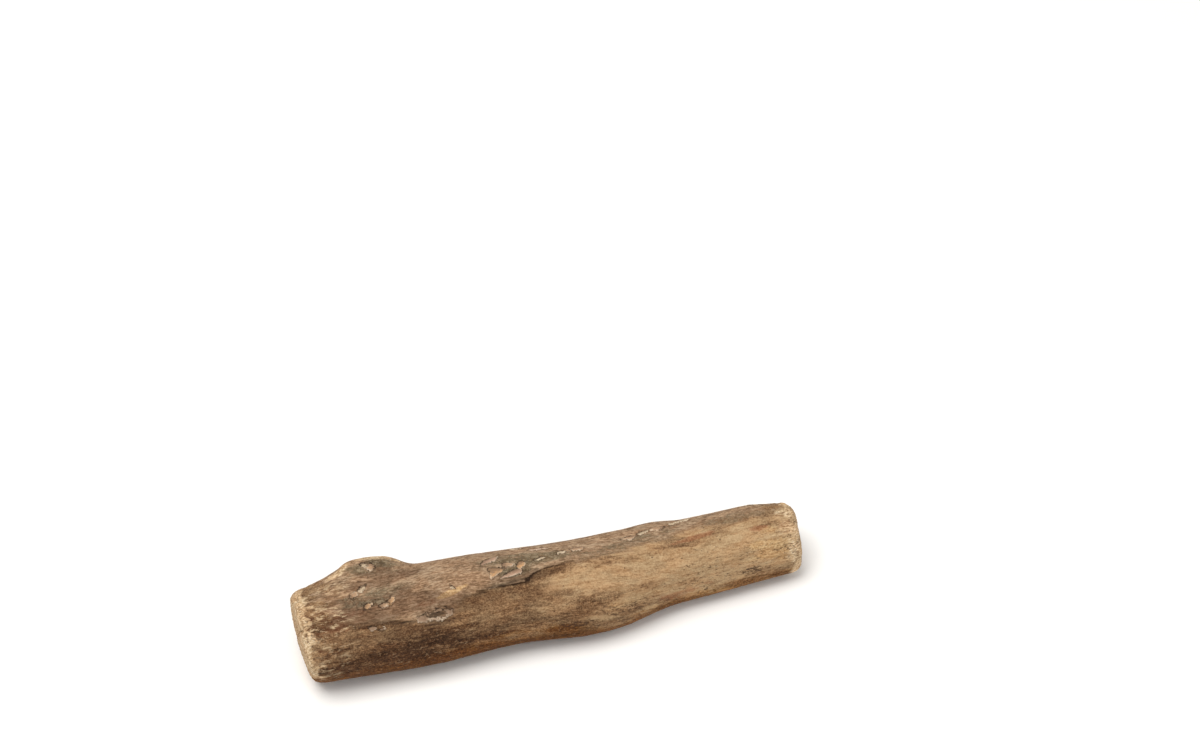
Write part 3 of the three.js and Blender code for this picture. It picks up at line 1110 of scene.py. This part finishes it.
@dataclass(frozen=True)
class WoodFinish:
    """The weathered wood: dry and matt, its colour set by how each part has weathered, with painted
    shade under the limb, in the crevices, flake gaps and cracks, and painted highlights on the
    flakes' lifted rims.
    """

    name: str = SLOT
    skin: tuple[Colour, ...] = ((106, 85, 67), (153, 127, 104), (187, 163, 140))
    wood: tuple[Colour, ...] = ((84, 62, 45), (130, 103, 78), (172, 143, 110))
    stain: tuple[Colour, ...] = ((46, 30, 20), (86, 60, 40), (140, 107, 78))
    bare: tuple[Colour, ...] = ((147, 118, 88), (175, 147, 115), (194, 168, 136))
    # the palest worn colour also paints the highlight on the flakes' lifted rims
    worn: tuple[Colour, ...] = ((132, 104, 77), (197, 170, 138), (232, 214, 188))
    face: tuple[Colour, ...] = ((154, 124, 94), (198, 173, 143), (222, 204, 178))
    flake: tuple[Colour, ...] = (
        (148, 120, 98), (178, 143, 120), (180, 144, 112), (192, 149, 106), (206, 185, 154),
    )
    ring: Colour = (126, 92, 62)
    pore: Colour = (98, 70, 48)
    lip: Colour = (180, 160, 136)
    scratch: Colour = (166, 138, 108)
    # painted shade on the low side of each flake
    scuffed: Colour = (122, 98, 76)
    plate: Colour = (158, 142, 116)
    grey: Colour = (102, 90, 69)
    # painted shade in the crevices, the slot and the check; also the dark crumbs of the crust
    slate: Colour = (68, 57, 47)
    gold: tuple[Colour, ...] = ((158, 124, 86), (198, 166, 124), (224, 200, 162))
    blush: Colour = (146, 84, 58)
    tongue: Colour = (204, 178, 142)
    rust: Colour = (84, 50, 32)
    # painted shadow along and under the skin's edge, in the gaps round the flakes and in the
    # cracks; also the scored lines of the crust
    dark: Colour = (48, 35, 26)
    speck: Colour = (64, 45, 33)
    # multiplies the colour in the darker patches
    dulled: Colour = (200, 193, 190)
    # painted shade and warm bounce light on the underside
    tanned: Colour = (238, 209, 162)
    tints: tuple[Colour, ...] = ((255, 240, 220), (250, 247, 235))
    tint_share: float = 0.8
    shine: float = 0.12
    roughness: tuple[float, float] = (0.92, 0.8)
    flake_edge_mm: float = 0.12
    fibre_mm: float = 0.16
    pore_mm: float = 0.2
    broken_shares: tuple[float, ...] = (0.13, 0.11, 0.24, 0.52)
    soft_shares: tuple[float, ...] = (0.14, 0.2, 0.3, 0.36)
    mottle_shares: tuple[float, ...] = (0.2, 0.44, 0.36)

    def material(self) -> bpy.types.Material:
        """Builds the material."""
        material = bpy.data.materials.new(self.name)
        material.use_nodes = True
        material.node_tree.nodes.clear()
        bench = NodeBench(material.node_tree)
        streak, soft = self._streaks(bench)
        ragged = self._ragged(bench)
        colour = self._regions(bench, (streak, soft), ragged)
        colour = self._marks(bench, colour)
        colour, height = self._scraps(bench, ragged, colour)
        feeds = {
            "Base Color": colour,
            "Specular IOR Level": self.shine,
            "Roughness": bench.rise(streak, 0.2, 0.8, *self.roughness),
            "Normal": self._bump(bench, height),
        }
        shader = bench.add("ShaderNodeBsdfPrincipled", feeds)
        bench.add("ShaderNodeOutputMaterial", {"Surface": shader.outputs[0]})
        return material

    def _weighed(
        self, bench: NodeBench, waves: tuple[Socket, ...], shares: tuple[float, ...]
    ) -> Socket:
        """The sum of several noises, each with its share."""
        return bench.total(*(bench.product(wave, share) for wave, share in zip(waves, shares)))

    def _streaks(self, bench: NodeBench) -> tuple[Socket, Socket]:
        """Streaks along the grain, from 0 to 1.

        Returns:
            The broken streaks of stained wood, and the long, soft ones of bare wood.
        """
        waves = (
            bench.grain_noise(0.08, 0.2),
            bench.grain_noise(0.12, 0.9, 3.0, 0.6),
            bench.grain_noise(0.5, 2.2, 3.0, 0.65),
            bench.grain_noise(1.9, 2.1, 4.0, 0.75),
        )
        broken = self._weighed(bench, waves, self.broken_shares)
        soft = self._weighed(bench, waves, self.soft_shares)
        return bench.rise(broken, 0.37, 0.63), bench.rise(soft, 0.38, 0.62)

    def _mottle(self, bench: NodeBench) -> Socket:
        """The bark skin's blotches, hardly longer than wide, from 0 to 1."""
        waves = (
            bench.grain_noise(0.2, 0.34),
            bench.grain_noise(0.9, 1.7, 4.0, 0.7),
            bench.grain_noise(0.4, 2.6, 2.0, 0.6),
        )
        return bench.rise(self._weighed(bench, waves, self.mottle_shares), 0.37, 0.63)

    def _ragged(self, bench: NodeBench) -> Socket:
        """Fine noise about zero that roughens every edge, longer along the grain."""
        return bench.math("SUBTRACT", bench.grain_noise(0.7, 1.5, 4.0, 0.65), 0.5)

    def _bark(self, bench: NodeBench, mottle: Socket, ragged: Socket, colour: Socket) -> Socket:
        """The bark skin over the wood, with its pale lip and a painted shadow along and under its
        edge.
        """
        crisp = bench.read(Mask.CRISP)
        edge = bench.total(bench.read(Edge.SKIN), bench.product(ragged, 0.9))
        lip = bench.product(bench.rise(edge, 1.3, 0.3), bench.rise(edge, -0.1, 0.2), crisp, 0.4)
        skin = bench.mix(lip, bench.ramp(mottle, self.skin), self.lip)
        blend = bench.rise(crisp, 0.0, 0.7, 2.4, 0.12)
        torn = bench.total(edge, bench.product(ragged, bench.rise(crisp, 0.0, 0.7, 5.0, 0.0)))
        # painted shadow that the skin's edge casts on the wood below it
        below = bench.product(bench.rise(edge, -1.6, -0.1), bench.rise(edge, 0.05, -0.1), crisp)
        broken = bench.rise(bench.grain_noise(0.16, 0.6), 0.34, 0.52)
        # painted shadow line in the crevice along the skin's edge
        line = bench.rise(bench.math("ABSOLUTE", bench.total(edge, 0.2)), 0.38, 0.12)
        return bench.layers(
            colour,
            (bench.rise(bench.math("DIVIDE", torn, blend), -1.0, 1.0), skin),
            (bench.product(below, 0.3), self.dark),
            (bench.product(line, broken, crisp, 0.85), self.dark),
        )

    def _end_face(self, bench: NodeBench, mottle: Socket) -> Socket:
        """The sawn ends' wood, with its growth rings and pores."""
        late = bench.rise(bench.rings(RING_MM), 0.1, 1.0, 0.0, 0.4)
        pores = bench.dots(bench.drawn_out(0.0, 2.2), 0.34, 0.6)
        return bench.layers(bench.ramp(mottle, self.face), (late, self.ring), (pores, self.pore))

    def _regions(
        self, bench: NodeBench, streaks: tuple[Socket, Socket], ragged: Socket
    ) -> Socket:
        """The colour of each kind of surface, laid over one another."""
        def share(mask: Mask, low: float, high: float) -> Socket:
            """A mask with its edge roughened by the fine noise."""
            return bench.rise(bench.total(bench.read(mask), bench.product(ragged, 1.1)), low, high)

        streak, soft = streaks
        mottle = self._mottle(bench)
        colour = bench.layers(
            bench.ramp(streak, self.wood),
            (share(Mask.BARE, 0.1, 0.9), bench.ramp(soft, self.bare)),
            # stain, with painted shade where it covers the underside
            (share(Mask.STAIN, 0.1, 0.9), bench.ramp(streak, self.stain)),
        )
        colour = self._bark(bench, mottle, ragged, colour)
        for mask, top, low, strength in (
            (Mask.GOLD, bench.ramp(streak, self.gold), 0.25, 0.8),
            (Mask.BLUSH, self.blush, 0.3, 0.36),
            (Mask.GREY, self.grey, 0.2, 0.7),
            # slate here is painted shade in the crevice, the slot and the check
            (Mask.SLATE, self.slate, 0.3, 0.72),
        ):
            colour = bench.mix(bench.product(share(mask, low, 0.85), strength), colour, top)
        # the darker patches multiply the colour; the underside's warm tint is painted shade and
        # warm bounce light
        for mask, shade in ((Mask.DULL, self.dulled), (Mask.UNDER, self.tanned)):
            colour = bench.mix(share(mask, 0.05, 0.95), colour, shade, "MULTIPLY")
        colour = bench.layers(
            colour,
            (share(Mask.WORN, 0.2, 0.8), bench.ramp(mottle, self.worn)),
            (share(Mask.END_GRAIN, 0.3, 0.7), self._end_face(bench, mottle)),
        )
        hue = bench.rise(bench.grain_noise(0.14, 0.32), 0.35, 0.65)
        return bench.mix(self.tint_share, colour, bench.ramp(hue, self.tints), "MULTIPLY")

    def _marks(self, bench: NodeBench, colour: Socket) -> Socket:
        """The small marks: frayed fibres, notches in the worn rim, dashes, scratches and specks."""
        fibres = bench.grain_noise(0.42, 1.15, 4.0, 0.7)
        fray = bench.read(Mask.FRAY)
        worn = bench.read(Mask.WORN)
        verge = bench.product(bench.rise(worn, 0.05, 0.3), bench.rise(worn, 0.75, 0.4))
        notch = bench.product(verge, bench.rise(fray, 0.3, 0.7), bench.rise(fibres, 0.5, 0.42))
        gathered = bench.read(Mask.FLECK)
        stained = bench.read(Mask.STAIN)
        dashes = bench.grain_noise(0.75, 1.9, 4.0, 0.7)
        more = bench.total(bench.product(gathered, 0.13), bench.product(stained, 0.06))
        dash = bench.rise(bench.total(dashes, more), 0.61, 0.67)
        fewer = bench.math("SUBTRACT", dashes, bench.product(stained, 0.05))
        share = bench.rise(gathered, 0.0, 1.0, 0.08, 0.6)
        specks = bench.dots(bench.drawn_out(0.8, 1.15), 0.26, share)
        return bench.layers(
            colour,
            (bench.product(bench.rise(fibres, 0.53, 0.62), fray, 0.8), self.tongue),
            (bench.product(bench.rise(fibres, 0.46, 0.38), fray, 0.75), self.rust),
            (bench.product(notch, 0.75), self.rust),
            (bench.product(dash, bench.rise(gathered, 0.3, 1.0, 0.6, 0.85)), self.speck),
            (bench.rise(fewer, 0.38, 0.31, 0.0, 0.5), self.scratch),
            (bench.product(specks, 0.65), self.speck),
        )

    def _scraps(
        self, bench: NodeBench, ragged: Socket, colour: Socket
    ) -> tuple[Socket, Socket]:
        """The crust, the loose flakes with painted shadow in the gap round each, painted shade on
        each low side and a painted highlight on each lifted rim, and the drying cracks with painted
        shade in them.

        Returns:
            The colour, and the height of what is laid on or cut in, in millimetres.
        """
        crumbs = bench.noise(bench.grain, 1.5, 4.0, 0.65)
        crust = bench.read(Mask.GREY)
        cell, border = bench.cells(bench.warped(bench.drawn_out(0.5, 0.85), 0.45))
        plates = bench.total(crumbs, bench.product(cell, 0.16))
        scored = bench.product(bench.rise(border, 0.14, 0.04), bench.rise(crumbs, 0.42, 0.55))
        nibbles = bench.math("SUBTRACT", bench.grain_noise(1.3, 2.4), 0.5)
        uneven = bench.total(bench.product(ragged, 0.7), bench.product(nibbles, 1.3))
        edge = bench.total(bench.read(Edge.FLAKE), uneven)
        top = bench.rise(edge, -0.06, 0.08)
        lift = bench.read(Mask.LIFT)
        # painted shadow in the gap, strongest on each flake's low side
        low = bench.rise(lift, 0.75, 0.2, 0.2, 0.95)
        gap = bench.product(bench.rise(edge, -0.5, -0.05), low)
        # painted highlight on each flake's lifted rim
        rim = bench.product(bench.rise(edge, 0.4, 0.05), bench.rise(lift, 0.4, 0.9), 0.5)
        flake = bench.layers(
            bench.ramp(bench.read(Mask.FLAKE_TONE), self.flake),
            (bench.rise(crumbs, 0.38, 0.62, 0.7, 0.0), self.skin[1]),
            # painted shade on the flake's low side
            (bench.rise(bench.total(lift, nibbles), 0.7, 0.3, 0.0, 0.75), self.scuffed),
            (rim, self.worn[2]),
        )
        crack = bench.total(bench.read(Edge.CRACK), bench.product(ragged, 0.4))
        colour = bench.layers(
            colour,
            (bench.product(bench.rise(plates, 0.54, 0.64), crust, 0.65), self.plate),
            (bench.product(bench.rise(crumbs, 0.46, 0.35), crust, 0.55), self.slate),
            (bench.product(scored, crust, 0.7), self.dark),
            # painted shadow in the gaps round the flakes
            (gap, self.dark),
            (top, flake),
            # painted shade in the drying cracks
            (bench.rise(crack, -0.12, 0.04, 0.0, 0.85), self.dark),
        )
        return colour, bench.product(bench.math("SUBTRACT", top, gap), self.flake_edge_mm)

    def _bump(self, bench: NodeBench, height: Socket) -> Socket:
        """Fibre and pore relief that is finer than the mesh, with the flakes' sharp edges."""
        fibres = bench.product(bench.grain_noise(0.7, 3.2, 4.0, 0.65), self.fibre_mm)
        pores = bench.product(bench.grain_noise(1.2, 2.0, 3.0, 0.6), self.pore_mm)
        feeds = {"Height": bench.total(height, fibres, pores), "Strength": 1.0, "Distance": MM}
        return bench.add("ShaderNodeBump", feeds).outputs[0]


@dataclass
class DriftwoodLimb:
    """The whole limb: its fine surface, its weathering, its relief and its finish."""

    name: str = "driftwood_limb"
    body: str = "root"
    clearance_mm: float = 0.3

    def build(self) -> None:
        """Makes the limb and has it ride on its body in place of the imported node."""
        surface = LimbSurface(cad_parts[NODE])
        weathering = Weathering(surface)
        surface.xyz = surface.xyz - surface.normal * self.clearance_mm
        mesh = surface.mesh(self.name, weathering.attributes())
        piece = bpy.data.objects.new(self.name, mesh)
        bpy.context.scene.collection.objects.link(piece)
        WeatheredRelief().carve(piece, WoodFinish().material())
        self._keep_in_box(piece.data, surface)
        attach(piece, self.body)
        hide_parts(NODE)
        log.info("%s: %d vertices", self.name, len(piece.data.vertices))

    def _keep_in_box(self, mesh: bpy.types.Mesh, surface: LimbSurface) -> None:
        """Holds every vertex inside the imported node's box."""
        places = np.zeros(len(mesh.vertices) * 3, np.float32)
        mesh.vertices.foreach_get("co", places)
        low = np.array(surface.low) * MM
        high = np.array(surface.high) * MM
        held = np.clip(places.reshape(-1, 3), low, high)
        mesh.vertices.foreach_set("co", held.astype(np.float32).ravel())
        mesh.update()


@dataclass(frozen=True)
class PhotoView:
    """The photograph's camera, and where the middle of the limb's box stands in its frame."""

    azimuth: float = -14.0
    elevation: float = 48.0
    lens_mm: float = 85.0
    sensor_mm: float = 36.0
    width_px: int = 1200
    height_px: int = 755
    middle_px: tuple[float, float] = (551.6, 582.0)
    mm_per_px: float = 0.292

    def place(self, target: Vector) -> None:
        """Places the camera so that the target stands at its pixel, at the photograph's scale."""
        a, e = math.radians(self.azimuth), math.radians(self.elevation)
        back = Vector((math.sin(a) * math.cos(e), -math.cos(a) * math.cos(e), math.sin(e)))
        right = Vector((math.cos(a), math.sin(a), 0.0))
        up = back.cross(right)
        focal_px = self.lens_mm / self.sensor_mm * self.width_px
        distance = focal_px * self.mm_per_px * MM
        aside = (self.middle_px[0] - self.width_px / 2) / focal_px * distance
        above = (self.height_px / 2 - self.middle_px[1]) / focal_px * distance
        data = bpy.data.cameras.new("photo_view")
        data.lens = self.lens_mm
        data.sensor_width = self.sensor_mm
        camera = bpy.data.objects.new("photo_view", data)
        bpy.context.scene.collection.objects.link(camera)
        camera.location = target - right * aside - up * above + back * distance
        camera.rotation_euler = back.to_track_quat("Z", "Y").to_euler()
        bpy.context.scene.camera = camera


@dataclass(frozen=True)
class Softbox:
    """A soft square light: where it stands, its size in metres and its strength in watts."""

    name: str
    place: tuple[float, float, float]
    size: float
    watts: float
    colour: tuple[float, float, float] = (1.0, 1.0, 1.0)

    def light(self, target: Vector) -> None:
        """Makes the light and turns it to the target."""
        data = bpy.data.lights.new(self.name, "AREA")
        data.size = self.size
        data.energy = self.watts
        data.color = self.colour
        lamp = bpy.data.objects.new(self.name, data)
        bpy.context.scene.collection.objects.link(lamp)
        lamp.location = self.place
        lamp.rotation_euler = (Vector(self.place) - target).to_track_quat("Z", "Y").to_euler()


@dataclass
class Studio:
    """A plain pale floor under plain soft light."""

    floor_size: float = 12.0
    floor_colour: Colour = (246, 245, 243)
    sky_strength: float = 0.5
    softboxes: tuple[Softbox, ...] = (
        Softbox("top_light", (-0.35, -0.1, 1.3), 0.8, 15.0, (1.0, 0.985, 0.96)),
        Softbox("fill_light", (0.6, -0.8, 0.9), 1.0, 3.0, (1.0, 0.99, 0.98)),
    )

    def build(self, target: Vector) -> None:
        """Makes the floor, the lights and the sky."""
        self._floor()
        for softbox in self.softboxes:
            softbox.light(target)
        world = bpy.data.worlds.new("studio_sky")
        world.use_nodes = True
        sky = world.node_tree.nodes["Background"]
        sky.inputs["Color"].default_value = (1.0, 1.0, 1.0, 1.0)
        sky.inputs["Strength"].default_value = self.sky_strength
        bpy.context.scene.world = world
        bpy.context.scene.view_settings.view_transform = "Standard"

    def _floor(self) -> None:
        """The floor, a plain square, which isn't part of the object."""
        half = self.floor_size / 2
        mesh = bpy.data.meshes.new("floor")
        corners = [(-half, -half, 0), (half, -half, 0), (half, half, 0), (-half, half, 0)]
        mesh.from_pydata(corners, [], [(0, 1, 2, 3)])
        material = bpy.data.materials.new("pale_floor")
        material.use_nodes = True
        shader = material.node_tree.nodes["Principled BSDF"]
        shader.inputs["Base Color"].default_value = srgb(self.floor_colour)
        shader.inputs["Roughness"].default_value = 0.9
        mesh.materials.append(material)
        floor = bpy.data.objects.new("floor", mesh)
        bpy.context.scene.collection.objects.link(floor)
        floor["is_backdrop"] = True


def main() -> None:
    """Builds the camera, the limb and the studio, in that order."""
    logging.basicConfig(level=logging.INFO, format="%(name)s %(message)s")
    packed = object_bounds()
    middle = (packed[0] + packed[1]) / 2
    PhotoView().place(middle)
    DriftwoodLimb().build()
    Studio().build(middle)


if __name__ == "__main__":
    main()
